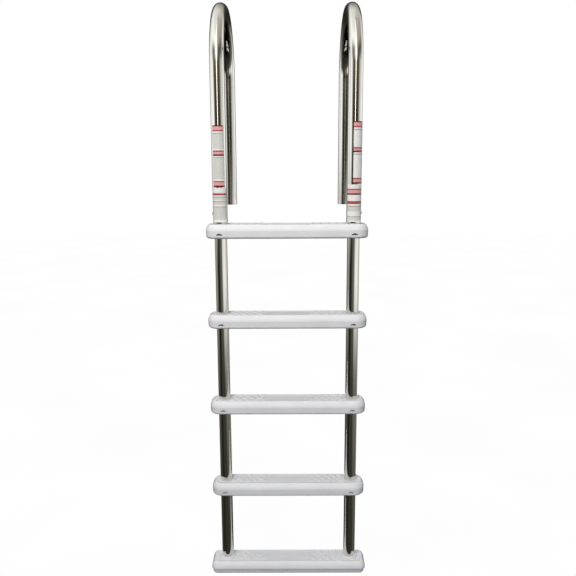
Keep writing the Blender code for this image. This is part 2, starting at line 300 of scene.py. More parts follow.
# %% [markdown]
# ## Tubes as a ring of rings
#
# A hollow tube is a circle carried along a line, first on the outside, over the end lip, back
# along the inside and over the other lip. The line is the two parameters' long one and the circle's
# angle the other. A curve object with a bevel would give the outside only, and its caps would
# be flat discs, so the wall and the lips are worked out here.
#
# On the bend the circle's own plane turns with the line, about the X axis, so no twist builds up.

# %% Paths
def straight_line(z_low, z_high, stations):
    """A straight path up: heights evenly spaced, and every circle's in-plane direction is -Y."""
    z = np.linspace(z_low, z_high, stations)
    centre = np.stack([0 * z, 0 * z, z], axis=-1)
    lean = np.broadcast_to([0.0, -1.0, 0.0], centre.shape)
    return centre, lean


def hook_line(z_foot, z_bend, radius, z_end, leg_stations=24, bend_stations=96):
    """The hook's path: up, a half circle backwards, and down. Lean is the circle's in-plane
    direction: it points away from the bend's centre all the way."""
    turn = np.linspace(0, math.pi, bend_stations)
    bend = np.stack([0 * turn, radius * (1 - np.cos(turn)), z_bend + radius * np.sin(turn)], axis=-1)
    bend_lean = np.stack([0 * turn, -np.cos(turn), np.sin(turn)], axis=-1)
    up, up_lean = straight_line(z_foot, z_bend, leg_stations)
    down, _ = straight_line(z_bend, z_end, leg_stations)
    down = down + [0.0, 2 * radius, 0.0]
    centre = np.concatenate([up[:-1], bend, down[1:]])
    lean = np.concatenate([up_lean[:-1], bend_lean, -up_lean[1:]])
    return centre, lean


hook_centre, hook_lean = hook_line(hand_low.z, BEND_Z, BEND_RADIUS, BACK_LEG_END)
print("the hook's path has", len(hook_centre), "stations")

# %% Tube surface
TUBE_SIDES = 96
LIP = 0.35 * MM  # rounding of a deburred tube end


def tube_mesh(name, centre, lean, outer, wall, x):
    """A hollow tube: point = centre + radius * (cos a * X + sin a * lean). The stations run up the
    outside and down the inside, and each end has two of them, a lip's width apart."""
    inner = outer - wall
    last = len(centre) - 1
    up = [0, *range(last + 1), last]
    stations = np.array(up + up[::-1])
    radius = np.array([outer - LIP, *[outer] * (last + 1), outer - LIP])
    radii = np.concatenate([radius, radius[::-1] - wall])
    radii[[last + 3, -1]] = inner + LIP
    ends = np.zeros(last + 3)
    ends[[1, -2]] = LIP, -LIP
    shift = np.concatenate([ends, ends[::-1]])
    tangent = np.gradient(centre, axis=0)
    tangent /= np.linalg.norm(tangent, axis=1)[:, None]
    path = centre[stations] + shift[:, None] * tangent[stations]
    angle = np.linspace(0, math.tau, TUBE_SIDES + 1)
    ring = angle[:-1, None]
    direction = np.cos(ring) * [1.0, 0.0, 0.0] + np.sin(ring) * lean[stations][:, None, :]
    points = path[:, None, :] + radii[:, None, None] * direction + [x, 0.0, 0.0]
    step = np.linalg.norm(np.diff(path, axis=0, append=path[:1]), axis=1)
    along = np.concatenate([[0], np.cumsum(step)])
    uv = np.stack(np.broadcast_arrays(angle[None, :] * outer, along[:, None]), axis=-1)
    return close_mesh(grid_mesh(name, points, True, True, uv))


print("each facet round a handrail is", round(math.tau * HAND_RADIUS / TUBE_SIDES / MM, 2), "mm wide")

# %% [markdown]
# ## The two lower rails
#
# Each is one straight length of 1-5/8 in tube. It runs from the foot tread's blind socket up
# through all four treads and on inside its handrail.

# %% Lower rails
rail_centre, rail_lean = straight_line(rail_low.z, rail_high.z, 60)
for side, sign in SIDES.items():
    node = f"{side}_lower_rail"
    mesh = tube_mesh(node, rail_centre, rail_lean, RAIL_RADIUS, WALL, sign * RAIL_X)
    rail = new_piece(f"{node}_tube", mesh, STEEL, "lower_section", "polished_stainless_tube", node)
    print(rail.name, len(mesh.polygons), "faces")

# %% [markdown]
# ## The two handrails
#
# A handrail is bent from 1.9 in tube on a round former: straight leg, half circle, straight leg.
# The line has exactly those three parts. A free-hand curve would give a bend that flattens.

# %% Handrails
for side, sign in SIDES.items():
    node = f"{side}_handrail"
    mesh = tube_mesh(node, hook_centre, hook_lean, HAND_RADIUS, WALL, sign * RAIL_X)
    hook = new_piece(f"{node}_tube", mesh, STEEL, f"{node}_set", "polished_stainless_tube", node)
    print(hook.name, len(mesh.polygons), "faces")

# %% [markdown]
# ## White moulded resin
#
# The treads are injection-moulded UV-stabilised polypropylene, which is near white, satin and a
# little cool. The mould's spark-eroded skin leaves a fine grain about 0.6 mm across; it is drawn at
# 1.5 mm so that it shows. Resin that has flowed round the ribs keeps a faint cloudiness about
# 60 mm wide in its colour, and feet dull the top a little, so its roughness is higher there. The
# colour is also darkened towards the outline, where the surface is seen at a slant: painted shade.

# %% Moulded resin
def moulded_resin():
    """Satin white polypropylene: soft colour clouds, a fine grain, duller where feet go."""
    material, tree, shader = new_material(
        "white_tread_resin",
        IOR=1.49,
        Subsurface_Weight=0.06,
        Subsurface_Scale=0.004,
    )
    place = add_node(tree, "ShaderNodeTexCoord").outputs["Object"]
    cloud = add_node(tree, "ShaderNodeTexNoise", {"Vector": place}, {"Scale": 1 / 0.06, "Detail": 3.0})
    colour = add_ramp(tree, cloud.outputs["Fac"], [(0.3, "#e9e9ea"), (0.7, "#efeff0")])
    # painted shade: the base colour is darkened towards the outline, where the surface is seen at a slant
    slant = add_node(tree, "ShaderNodeLayerWeight", values={"Blend": 0.5}).outputs["Facing"]
    painted_outline_shade = add_ramp(tree, slant, [(0.8, "#ffffff"), (0.97, "#b4b4b6")])
    seen = add_node(
        tree,
        "ShaderNodeMix",
        {"A": colour, "B": painted_outline_shade},
        {"Factor": 1.0},
        data_type="RGBA",
        blend_type="MULTIPLY",
    )
    tree.links.new(seen.outputs["Result"], shader.inputs["Base Color"])
    grain = add_node(tree, "ShaderNodeTexNoise", {"Vector": place}, {"Scale": 1 / 0.0015, "Detail": 2.0})
    normal = add_node(tree, "ShaderNodeNewGeometry").outputs["Normal"]
    upward = add_node(tree, "ShaderNodeSeparateXYZ", {"Vector": normal}).outputs["Z"]
    worn = add_node(
        tree,
        "ShaderNodeMapRange",
        {"Value": upward},
        {"From Min": 0.6, "From Max": 1.0, "To Min": 0.34, "To Max": 0.46},
    )
    tree.links.new(worn.outputs["Result"], shader.inputs["Roughness"])
    bump = add_node(
        tree,
        "ShaderNodeBump",
        {"Height": grain.outputs["Fac"]},
        {"Strength": 0.12, "Distance": 0.0002},
    )
    tree.links.new(bump.outputs["Normal"], shader.inputs["Normal"])
    return material


RESIN = moulded_resin()
print("material:", RESIN.name)

# %% [markdown]
# ## The tread's plan outline
#
# Seen from above, a tread is a long rectangle with round corners. The outline runs once round, and
# each of its points has a direction inwards. Points along the front and the back sit 2 mm apart and
# face each other, because the raised diamonds on top need that resolution.

# %% Plan outline
STEP = 2.0 * MM  # along the front and the back
END_STEP = 3.0 * MM  # along the short ends
CORNER_STEPS = 14


def plan_outline(half_x, front, back, corner):
    """Round the plan anticlockwise: side runs joined by quarter circles. Gives points and the
    directions inwards, both as arrays of x and y."""
    centre_x = half_x - corner
    places, inward = [], []
    long_count = int(round(2 * centre_x / STEP))
    end_count = max(4, int(round((front + back - 2 * corner) / END_STEP)))
    run = np.linspace(-1, 1, long_count, endpoint=False)
    climb = np.linspace(0, 1, end_count, endpoint=False)
    turn = np.linspace(0, math.pi / 2, CORNER_STEPS, endpoint=False)
    low_y, high_y = -front + corner, back - corner
    rise = climb * (high_y - low_y)
    front_run = np.stack([run * centre_x, 0 * run - front], -1)
    right_run = np.stack([0 * climb + half_x, low_y + rise], -1)
    back_run = np.stack([-run * centre_x, 0 * run + back], -1)
    left_run = np.stack([0 * climb - half_x, high_y - rise], -1)
    runs = [
        # a straight run, its direction inwards, and the next corner's centre and first angle
        (front_run, (0, 1), (centre_x, low_y), -math.pi / 2),
        (right_run, (-1, 0), (centre_x, high_y), 0),
        (back_run, (0, -1), (-centre_x, high_y), math.pi / 2),
        (left_run, (1, 0), (-centre_x, low_y), math.pi),
    ]
    for straight, direction, centre, begin in runs:
        places.append(straight)
        inward.append(np.broadcast_to(np.array(direction, float), straight.shape))
        out = np.stack([np.cos(begin + turn), np.sin(begin + turn)], -1)
        places.append(np.array(centre) + corner * out)
        inward.append(-out)
    return np.concatenate(places), np.concatenate(inward)


tread_low, tread_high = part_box("tread_1")
UPPER_PLAN = dict(half_x=tread_high.x, front=-tread_low.y, back=tread_high.y, corner=38 * MM)
outline, _ = plan_outline(**UPPER_PLAN)
print("outline of an upper tread:", len(outline), "points")

# %% [markdown]
# ## The grip on top: raised diamonds
#
# Wet feet need grip, so the tread's top has two fields of raised soft diamonds, in staggered rows,
# left and right of a plain panel with a few low ribs along it. They could be separate bodies laid on
# top, but a real tread is one moulding. So the grip is a height added to the top's points.
#
# A diamond is where |dx| / a + |dy| / b is under one. The height climbs smoothly from that edge to a
# flat top. The nearest column is found by rounding, so one formula serves a whole row.

# %% Grip heights
DIAMOND_PITCH = 26 * MM
DIAMOND_HALF_X = 11.5 * MM
DIAMOND_HALF_Y = 15.0 * MM
DIAMOND_HEIGHT = 2.6 * MM
DIAMOND_SLOPE = 0.3  # share of the half width taken by the soft flank
DIAMOND_ROWS = (19 * MM, 1 * MM, -17 * MM)
CENTRE_PANEL = 70 * MM
CENTRE_RIBS = (18 * MM, 4 * MM, -10 * MM)
RIB_HALF = 2.4 * MM
RIB_HEIGHT = 0.5 * MM
PANEL_FADE = 3 * MM


def smooth(t):
    """An even S from 0 to 1."""
    t = np.clip(t, 0, 1)
    return t * t * (3 - 2 * t)


def grip_height(x, y, first, columns):
    """Height of the diamonds, plus low ribs on the panel between the two fields. The first column
    is that far from the middle, and there are so many on each side."""
    across = np.abs(x)
    height = np.zeros_like(x)
    for row, row_y in enumerate(DIAMOND_ROWS):
        odd = row % 2
        start = first + odd * DIAMOND_PITCH / 2
        column = np.clip(np.round((across - start) / DIAMOND_PITCH), 0, columns - 1 - odd)
        dx = across - start - column * DIAMOND_PITCH
        reach = np.abs(dx) / DIAMOND_HALF_X + np.abs(y - row_y) / DIAMOND_HALF_Y
        height = np.maximum(height, DIAMOND_HEIGHT * smooth((1 - reach) / DIAMOND_SLOPE))
    panel = smooth((CENTRE_PANEL - across) / PANEL_FADE)
    for rib_y in CENTRE_RIBS:
        height = np.maximum(height, panel * RIB_HEIGHT * smooth(1.4 - np.abs(y - rib_y) / RIB_HALF))
    return height


print("a diamond is", 2 * DIAMOND_HALF_X / MM, "by", 2 * DIAMOND_HALF_Y / MM, "mm")

# %% [markdown]
# ## One moulded shell from a rim profile
#
# A tread is a shell: its top curls over a round nose into the wall, the wall tucks under, turns up
# inside and becomes the ceiling of the hollow. All that is one profile of insets from the outline
# and heights. It is carried round the outline, and then spokes run on from its two ends to the
# tread's middle line, above for the top and below for the ceiling.
#
# The spokes cross the top straight from front to back, so the grid suits the diamonds. At the ends
# they fan into the middle line's end point, which falls inside the rail's bore and is cut away.

# %% Arcs for a profile
def arc(centre, radii, begin, end, steps, power=1.0):
    """Points (inset, height) on an ellipse, angles in degrees: 180 is outermost, 90 is on top. A
    power over 1 flattens each quarter towards a chamfer."""
    angle = np.radians(np.linspace(begin, end, steps))
    unit = np.stack([np.cos(angle), np.sin(angle)], -1)
    return np.array(centre) + np.array(radii) * np.sign(unit) * np.abs(unit) ** power


print("a round quarter and a flattened one, halfway:")
print(arc((0, 0), (1, 1), 90, 0, 3)[1].round(3), arc((0, 0), (1, 1), 90, 0, 3, 1.3)[1].round(3))


# %% Shell surface
def shell_mesh(name, plan, rim, top_height, ceiling_height):
    """Rows from the ceiling's middle outwards, round the rim profile, and inwards over the top."""
    points, inward = plan_outline(**plan)
    middle_y = (plan["back"] - plan["front"]) / 2
    reach = plan["half_x"] - (plan["front"] + plan["back"]) / 2
    middle = np.stack([np.clip(points[:, 0], -reach, reach), np.full(len(points), middle_y)], -1)

    def spokes(inset, shares):
        start = points + inset * inward
        return start[None] + shares[:, None, None] * (middle - start)[None]

    below = spokes(rim[0, 0], np.linspace(1, 0, 6)[:-1])
    wall = points[None] + rim[:, 0, None, None] * inward[None]
    top = spokes(rim[-1, 0], np.linspace(0, 1, 19)[1:])
    flat = np.concatenate([below, wall, top])
    height = np.concatenate([
        ceiling_height(below),
        np.broadcast_to(rim[:, 1, None], wall.shape[:2]),
        top_height(top, points + rim[-1, 0] * inward),
    ])
    grid = np.concatenate([flat, height[..., None]], axis=-1)
    return close_mesh(grid_mesh(name, grid, False, True))


print("spokes run to the middle line, from", len(outline), "points of the outline")

# %% [markdown]
# ## Sockets, ribs, bores and notches
#
# Under the top, a boss stands round each rail and ribs stiffen the shell from front to back. Those
# are joined to the shell, and then the bores, the arched notches and the drilled holes are cut
# out of the joined body. Boolean modifiers do both, in that order, as a mould maker adds steel and
# then drills it. Each tool body is a turned profile, or a slice of the shell's own section.

# %% Turned bodies
def turned_points(profile, sides, radius_of_angle=None):
    """Radius and height pairs turned about Z: x = r cos a, y = r sin a."""
    profile = np.asarray(profile, float)
    angle = np.linspace(0, math.tau, sides, endpoint=False)
    radius = profile[:, 0, None] * np.ones(sides)
    if radius_of_angle is not None:
        radius = radius_of_angle(radius, angle)
    height = profile[:, 1, None] * np.ones(sides)
    return np.stack([radius * np.cos(angle), radius * np.sin(angle), height], -1)


def turned_mesh(name, profile, sides=64, closed=False, radius_of_angle=None):
    """A closed turned body; the profile starts and ends on the axis, or closes on itself."""
    points = turned_points(profile, sides, radius_of_angle)
    return close_mesh(grid_mesh(name, points, closed, True))


def pillar(name, radius, low, high, at=(0, 0, 0), turn=(0, 0, 0), sides=64, rounding=0.0):
    """A cylinder from low to high on its own axis, turned and placed; its top edge may be round."""
    edge = arc((radius - rounding, high - rounding), (rounding, rounding), 90, 0, 6 if rounding else 1)
    mesh = turned_mesh(name, [(0, high), *edge, (radius, low), (0, low)], sides)
    mesh.transform(Matrix.Translation(at) @ Euler(turn).to_matrix().to_4x4())
    return mesh


print("two profile points turned on 6 sides:", turned_points([(1, 1), (1, 0)], 6).shape)


# %% Joining and carving
def joined(name, meshes):
    """Several separate bodies as one mesh."""
    bm = bmesh.new()
    for mesh in meshes:
        bm.from_mesh(mesh)
    mesh = bpy.data.meshes.new(name)
    bm.to_mesh(mesh)
    bm.free()
    return mesh


def carve(mesh, steps):
    """Applies Boolean steps, (operation, tool mesh), to a mesh and gives the result."""
    body = bpy.data.objects.new("carving", mesh)
    bpy.context.scene.collection.objects.link(body)
    tools = []
    for operation, tool_mesh in steps:
        tool = bpy.data.objects.new("tool", tool_mesh)
        bpy.context.scene.collection.objects.link(tool)
        boolean = body.modifiers.new(operation.lower(), "BOOLEAN")
        boolean.operation = operation
        boolean.solver = "EXACT"
        boolean.object = tool
        tools.append(tool)
    bpy.context.view_layer.update()
    result = bpy.data.meshes.new_from_object(body.evaluated_get(bpy.context.evaluated_depsgraph_get()))
    for obj in [body, *tools]:
        bpy.data.objects.remove(obj, do_unlink=True)
    return result


def rib(name, x, thickness, section):
    """A cross rib: the section's outline, as y and z, pulled along X by the thickness."""
    half = thickness / 2
    sides = np.array([x - half, x + half])
    points = np.stack([
        np.broadcast_to(sides[:, None], (2, len(section))),
        np.broadcast_to(section[None, :, 0], (2, len(section))),
        np.broadcast_to(section[None, :, 1], (2, len(section))),
    ], -1)
    count = len(section)
    faces = grid_faces(2, count, False, True).tolist()
    faces += [list(range(count)), list(range(2 * count - 1, count - 1, -1))]
    mesh = bpy.data.meshes.new(name)
    mesh.from_pydata(points.reshape(-1, 3).tolist(), [], faces)
    return close_mesh(mesh)


print("rails cross a tread", round((RAIL_X - RAIL_RADIUS) / MM, 1), "mm or more from its middle")

# %% [markdown]
# ## An upper tread
#
# The four upper treads are the same moulding. The nose is a quarter ellipse, deeper than it is
# wide and flattened a little towards a chamfer, and the wall tucks under on a plain one. The top is
# dished by 3 mm, so that the diamonds stay below the edge. In the front wall an arched notch under
# each rail lets a driver reach the tread's screw. It is only the top of an arch, and the wall stays
# whole below it.

# %% Rim profile
DISH = 3.0 * MM
DISH_RUN = 10 * MM  # from the top's edge in to the full depth
GRIP_RUN = 4 * MM  # from the top's edge in to the full height of the diamonds
NOSE_POWER = 1.3
SKIN = 3.2 * MM
RIB_THICKNESS = 4 * MM
BOSS_RADIUS = 26 * MM
BOSS_LIFT = 0.6 * MM  # the bosses stop this far above the rim
BORE_RADIUS = RAIL_RADIUS + FIT_GAP
NOTCH_RADIUS = 13.5 * MM
UPRIGHT_TO_FRONT = (math.radians(90), 0, 0)
RIB_PLACES = (-140 * MM, -70 * MM, 0.0, 70 * MM, 140 * MM)


def rim_profile(height, nose, tuck, lean, wall):
    """From the ceiling's edge down the inside, round the rim and up the outside to the top's edge.
    Heights are below the top, insets are from the plan outline; nose and tuck are (inset, height)."""
    inner = wall + nose[0] * 0.35
    inside_top = arc((inner + 5 * MM, -SKIN - DISH - 5 * MM), (5 * MM, 5 * MM), 90, 180, 5)
    rim_inset = lean + tuck[0] + 1.2 * MM
    inside = np.array([[inner, -height * 0.55], [rim_inset, -height + 1.0 * MM], [rim_inset, -height]])
    under = arc((lean + tuck[0], -height + tuck[1]), tuck, 270, 180, 9)
    face = np.linspace([lean, -height + tuck[1]], [0, -nose[1]], 7)[1:-1]
    over = arc((nose[0], -nose[1]), nose, 180, 90, 17, NOSE_POWER)
    return np.concatenate([inside_top, inside, under, face, over])


def rib_section(plan, rim, depth):
    """The shell's section halfway through its wall: front side up, then back side down."""
    outer = rim[rim[:, 1].argmin() :]
    outer = outer[outer[:, 1] > -depth]
    inset = outer[:, 0] + SKIN / 2
    z = np.minimum(outer[:, 1], -DISH - SKIN / 2)
    front = np.stack([-plan["front"] + inset, z], -1)
    back = np.stack([plan["back"] - inset, z], -1)[::-1]
    return np.concatenate([front, back])


UPPER_HEIGHT = tread_high.z - tread_low.z
UPPER_NOSE = (12 * MM, 21 * MM)
UPPER_TUCK = (11 * MM, 8 * MM)
upper_rim = rim_profile(UPPER_HEIGHT, UPPER_NOSE, UPPER_TUCK, lean=0.8 * MM, wall=2 * MM)
print("an upper tread's rim has", len(upper_rim), "points and is", round(UPPER_HEIGHT / MM, 1), "mm high")


# %% Top, ceiling and notch
def dished_top(flat, edge, first, columns):
    """The top falls smoothly by the dish, inwards from its edge, and the grip rises out of it."""
    away = np.linalg.norm(flat - edge[None], axis=-1)
    grip = grip_height(flat[..., 0], flat[..., 1], first, columns)
    return -DISH * smooth(away / DISH_RUN) + smooth(away / GRIP_RUN) * grip


def upper_top(flat, edge):
    """An upper tread's top: five columns of diamonds on each side."""
    return dished_top(flat, edge, 86 * MM, 5)


def ceiling(flat):
    """The flat ceiling of the hollow, one skin under the dish."""
    return np.full(flat.shape[:2], -SKIN - DISH)


NOTCH_CENTRE = -42.5 * MM
NOTCH_FLOOR = -35.5 * MM


def arched_notch(x):
    """The top of a cylinder that lies along Y: every point below the floor is brought up to it, and
    its x is kept within the arch's half width there."""
    at = (x, -BOSS_RADIUS - FIT_GAP, NOTCH_CENTRE)
    mesh = pillar("notch", NOTCH_RADIUS, 0, 40 * MM, at, UPRIGHT_TO_FRONT)
    points = np.empty((len(mesh.vertices), 3))
    mesh.vertices.foreach_get("co", points.ravel())
    half = math.sqrt(NOTCH_RADIUS**2 - (NOTCH_FLOOR - NOTCH_CENTRE) ** 2)
    points[:, 0] = np.clip(points[:, 0], x - half, x + half)
    points[:, 2] = np.maximum(points[:, 2], NOTCH_FLOOR)
    mesh.vertices.foreach_set("co", points.ravel())
    return close_mesh(mesh)


print("the arch stands", round((NOTCH_CENTRE + NOTCH_RADIUS - NOTCH_FLOOR) / MM, 1), "mm high")


# %% Upper treads
def upper_tread_mesh():
    """The carved moulding with its top at z = 0."""
    shell = shell_mesh("upper_shell", UPPER_PLAN, upper_rim, upper_top, ceiling)
    section = rib_section(UPPER_PLAN, upper_rim, UPPER_HEIGHT - 7 * MM)
    additions = [rib("rib", x, RIB_THICKNESS, section) for x in RIB_PLACES]
    cuts = []
    for sign in SIDES.values():
        x = sign * RAIL_X
        foot_z = -UPPER_HEIGHT + BOSS_LIFT
        additions.append(pillar("boss", BOSS_RADIUS, foot_z, -SKIN - DISH / 2, (x, 0, 0)))
        cuts.append(pillar("bore", BORE_RADIUS, -60 * MM, 10 * MM, (x, 0, 0), sides=TUBE_SIDES))
        cuts.append(arched_notch(x))
    steps = [("UNION", joined("additions", additions)), ("DIFFERENCE", joined("cuts", cuts))]
    return carve(shell, steps)


upper = upper_tread_mesh()
for name in TREADS:
    mesh = moved(upper, (0, 0, tread_tops[name]))
    tread = new_piece(f"{name}_moulding", mesh, RESIN, "lower_section", "white_tread_resin", name, sharp=35)
    print(tread.name, len(mesh.polygons), "faces")

# %% [markdown]
# ## The foot tread
#
# The lowest tread is longer and boxier. The rails end in it, in blind sockets, so it has raised
# collars instead of through holes. Its nose rolls down to a crisp edge, and below it the wall steps
# in by 1.5 mm. The same shell function makes it from another profile.

# %% Foot tread's profile
foot_low, foot_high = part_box("foot_tread")
FOOT_PLAN = dict(half_x=foot_high.x, front=-foot_low.y, back=foot_high.y, corner=20 * MM)
FOOT_NOSE = (11 * MM, 23 * MM)
FOOT_TUCK = (9 * MM, 10 * MM)
FOOT_STEP = 1.5 * MM
FOOT_EDGE_Z = -27 * MM  # the crisp edge, below the top
COLLAR_RADIUS = 27.5 * MM
COLLAR_HEIGHT = 5 * MM
SOCKET_FLOOR = 5 * MM
FOOT_SCREW_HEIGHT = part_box("foot_tread_left_screw")[0].z + 5.2 * MM


def foot_rim_profile():
    """The upper tread's kind of profile, with the wall above the crisp edge brought out again."""
    rim = rim_profile(FOOT_HEIGHT, FOOT_NOSE, FOOT_TUCK, lean=3.0 * MM, wall=3 * MM)
    outside = np.arange(len(rim)) >= rim[:, 1].argmin()
    below = rim[outside & (rim[:, 1] < FOOT_EDGE_Z)] + [FOOT_STEP, 0]
    above = rim[outside & (rim[:, 1] > FOOT_EDGE_Z + 2 * MM)]
    edge = [[FOOT_STEP, FOOT_EDGE_Z - 0.8 * MM], [0.5 * MM, FOOT_EDGE_Z], [0, FOOT_EDGE_Z + 0.8 * MM]]
    return np.concatenate([rim[~outside] + [FOOT_STEP, 0], below, edge, above])


foot_rim = foot_rim_profile()
print("the foot tread's rim has", len(foot_rim), "points")


# %% Foot tread's top and body
def foot_top(flat, edge):
    """The same dish, four columns of diamonds on each side, and a low round step about each collar."""
    from_rail = np.hypot(np.abs(flat[..., 0]) - RAIL_X, flat[..., 1])
    round_step = 0.8 * MM * smooth((35 * MM - from_rail) / (3 * MM))
    return dished_top(flat, edge, 91 * MM, 4) + round_step


def foot_tread_mesh():
    """The carved moulding with its underside at z = 0."""
    shell = shell_mesh("foot_shell", FOOT_PLAN, foot_rim, foot_top, ceiling)
    section = rib_section(FOOT_PLAN, foot_rim, FOOT_HEIGHT - 8 * MM)
    additions = [rib("rib", x, RIB_THICKNESS, section) for x in RIB_PLACES]
    cuts = []
    for sign in SIDES.values():
        x = sign * RAIL_X
        foot_z = -FOOT_HEIGHT + BOSS_LIFT
        boss = pillar("boss", BOSS_RADIUS, foot_z, -SKIN - DISH / 2, (x, 0, 0))
        collar_low = -DISH - SKIN / 2
        collar = pillar("collar", COLLAR_RADIUS, collar_low, COLLAR_HEIGHT, (x, 0, 0), rounding=2 * MM)
        additions += [boss, collar]
        floor = SOCKET_FLOOR - FOOT_HEIGHT
        cuts.append(pillar("bore", BORE_RADIUS, floor, 20 * MM, (x, 0, 0), sides=TUBE_SIDES))
        notch_at = (x, BOSS_RADIUS + FIT_GAP, FOOT_SCREW_HEIGHT - FOOT_HEIGHT)
        cuts.append(pillar("notch", NOTCH_RADIUS, -40 * MM, 0, notch_at, UPRIGHT_TO_FRONT))
    steps = [("UNION", joined("additions", additions)), ("DIFFERENCE", joined("cuts", cuts))]
    return carve(shell, steps)


mesh = moved(foot_tread_mesh(), (0, 0, FOOT_HEIGHT))
node = "foot_tread"
foot = new_piece(f"{node}_moulding", mesh, RESIN, "lower_section", "white_tread_resin", node, sharp=35)
print(foot.name, len(mesh.polygons), "faces")

# %% [markdown]
# ## Stainless screws
#
# Cold-headed button screws with a hexagon socket. Their heads are tumbled, which leaves a soft
# sheen full of tiny dents about 0.3 mm across. A turned profile gives the head and shank. The
# socket is the same turning with its radius changed round the axis: a hexagon's radius at angle
# a is its half width across the flats over cos(a), counted from the nearest flat.

# %% Tumbled steel
def tumbled_steel():
    """Stainless screw: tumbled, so rougher than the tubes, with small dents."""
    material, tree, shader = new_material(
        "stainless_screw",
        Base_Color=linear("#bdbbb5"),
        Metallic=1.0,
    )
    place = add_node(tree, "ShaderNodeTexCoord").outputs["Object"]
    dents = add_node(tree, "ShaderNodeTexNoise", {"Vector": place}, {"Scale": 1 / 0.0003, "Detail": 2.0})
    rough = add_node(
        tree,
        "ShaderNodeMapRange",
        {"Value": dents.outputs["Fac"]},
        {"To Min": 0.22, "To Max": 0.38},
    )
    tree.links.new(rough.outputs["Result"], shader.inputs["Roughness"])
    bump = add_node(
        tree,
        "ShaderNodeBump",
        {"Height": dents.outputs["Fac"]},
        {"Strength": 0.2, "Distance": 0.00005},
    )
    tree.links.new(bump.outputs["Normal"], shader.inputs["Normal"])
    return material


SCREW_STEEL = tumbled_steel()
print("material:", SCREW_STEEL.name)

# %% Screw shapes
THREAD_PITCH = 1.4 * MM
THREAD_DEPTH = 0.25 * MM
SOCKET_ROWS = 4  # the profile's first points are the socket's floor and walls


def screw_mesh(shank, length, head, head_height, flats):
    """A button head on z = 0 with a hexagon socket, and its shank below with turned grooves."""
    floor = head_height * 0.25
    rim_z = head_height * 0.97
    dome = [(head * s, head_height * (1 - 0.75 * s**3)) for s in np.linspace(0.62, 1.0, 9)]
    socket = [(0, floor), (flats * 0.5, floor), (flats, floor), (flats, rim_z), (flats * 1.12, head_height)]
    turns = max(3, int(length / THREAD_PITCH))
    z = -np.linspace(0.0, length, 4 * turns)
    wave = np.cos(np.linspace(0, math.tau * turns, 4 * turns))
    groove = shank - THREAD_DEPTH * (0.5 - 0.5 * wave)
    body = [(head, 0.0), (shank, 0.0), *zip(groove, z), (0, -length)]

    def hexagon(radius, angle):
        nearest = (angle + math.pi / 6) % (math.pi / 3) - math.pi / 6
        hexed = radius / np.cos(nearest)
        rows = np.arange(len(radius))[:, None] < SOCKET_ROWS
        return np.where(rows, hexed, radius)

    return turned_mesh("screw", socket + dome + body, 48, radius_of_angle=hexagon)


TREAD_HEAD = 3.2 * MM
LOCK_HEAD = 2.2 * MM
tread_screw = screw_mesh(2.9 * MM, 11.5 * MM, 5.2 * MM, TREAD_HEAD, 1.75 * MM)
lock_screw = screw_mesh(2.5 * MM, 3.2 * MM, 4.6 * MM, LOCK_HEAD, 1.5 * MM)
print("tread screw:", len(tread_screw.polygons), "faces, lock screw:", len(lock_screw.polygons))


# %% Screws in their holes
def screw_piece(node, mesh, turn, at, body):
    """A screw turned to its hole and placed, standing for its node."""
    placed = mesh.copy()
    placed.transform(Matrix.Translation(at) @ Euler(turn).to_matrix().to_4x4())
    return new_piece(f"{node}_socket_head", placed, SCREW_STEEL, body, "stainless_screw", node, sharp=30)


TO_BACK = (math.radians(-90), 0, 0)
for side, sign in SIDES.items():
    for name in TREADS:
        node = f"{name}_{side}_screw"
        low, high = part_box(node)
        at = ((low.x + high.x) / 2, low.y + TREAD_HEAD, (low.z + high.z) / 2)
        screw_piece(node, tread_screw, UPRIGHT_TO_FRONT, at, "lower_section")
    node = f"foot_tread_{side}_screw"
    low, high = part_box(node)
    at = (sign * RAIL_X, high.y - TREAD_HEAD, (low.z + high.z) / 2)
    screw_piece(node, tread_screw, TO_BACK, at, "lower_section")
    node = f"{side}_lock_screw"
    low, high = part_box(node)
    outer_x = high.x if sign > 0 else low.x
    at = (outer_x - sign * LOCK_HEAD, 0, (low.z + high.z) / 2)
    screw_piece(node, lock_screw, (0, sign * math.radians(90), 0), at, f"{side}_handrail_set")
print("screws:", len(SIDES) * (len(TREADS) + 2))

# %% [markdown]
# ## Nylon plugs and bushes
#
# Inside, a bush guides each handrail on its lower rail, a plug closes each rail's top and another
# its foot. They are moulded nylon: grey, waxy and a little see-through at the edge. The plugs'
# spigots carry three soft fins that bite in the tube.

# %% Moulded nylon
def moulded_nylon():
    """Grey nylon 6: waxy sheen, a fine moulded grain drawn at 1 mm."""
    material, tree, shader = new_material(
        "grey_nylon",
        IOR=1.53,
        Subsurface_Weight=0.1,
        Subsurface_Scale=0.002,
    )
    place = add_node(tree, "ShaderNodeTexCoord").outputs["Object"]
    grain = add_node(tree, "ShaderNodeTexNoise", {"Vector": place}, {"Scale": 1 / 0.001, "Detail": 3.0})
    colour = add_ramp(tree, grain.outputs["Fac"], [(0.3, "#9b9b9d"), (0.7, "#a8a8aa")])
    tree.links.new(colour, shader.inputs["Base Color"])
    rough = add_node(
        tree,
        "ShaderNodeMapRange",
        {"Value": grain.outputs["Fac"]},
        {"To Min": 0.38, "To Max": 0.52},
    )
    tree.links.new(rough.outputs["Result"], shader.inputs["Roughness"])
    return material


NYLON = moulded_nylon()
print("material:", NYLON.name)

# %% Bush and plug shapes
INNER_RADIUS = RAIL_RADIUS - WALL - FIT_GAP


def bush_mesh(low, high):
    """A sleeve, its four edges cut by a 0.5 mm chamfer."""
    outer = HAND_RADIUS - WALL - FIT_GAP
    inner = RAIL_RADIUS + FIT_GAP
    cut = 0.5 * MM
    profile = [
        (outer, high - cut),
        (outer, low + cut),
        (outer - cut, low),
        (inner + cut, low),
        (inner, low + cut),
        (inner, high - cut),
        (inner + cut, high),
        (outer - cut, high),
    ]
    return turned_mesh("bush", profile, TUBE_SIDES, closed=True)


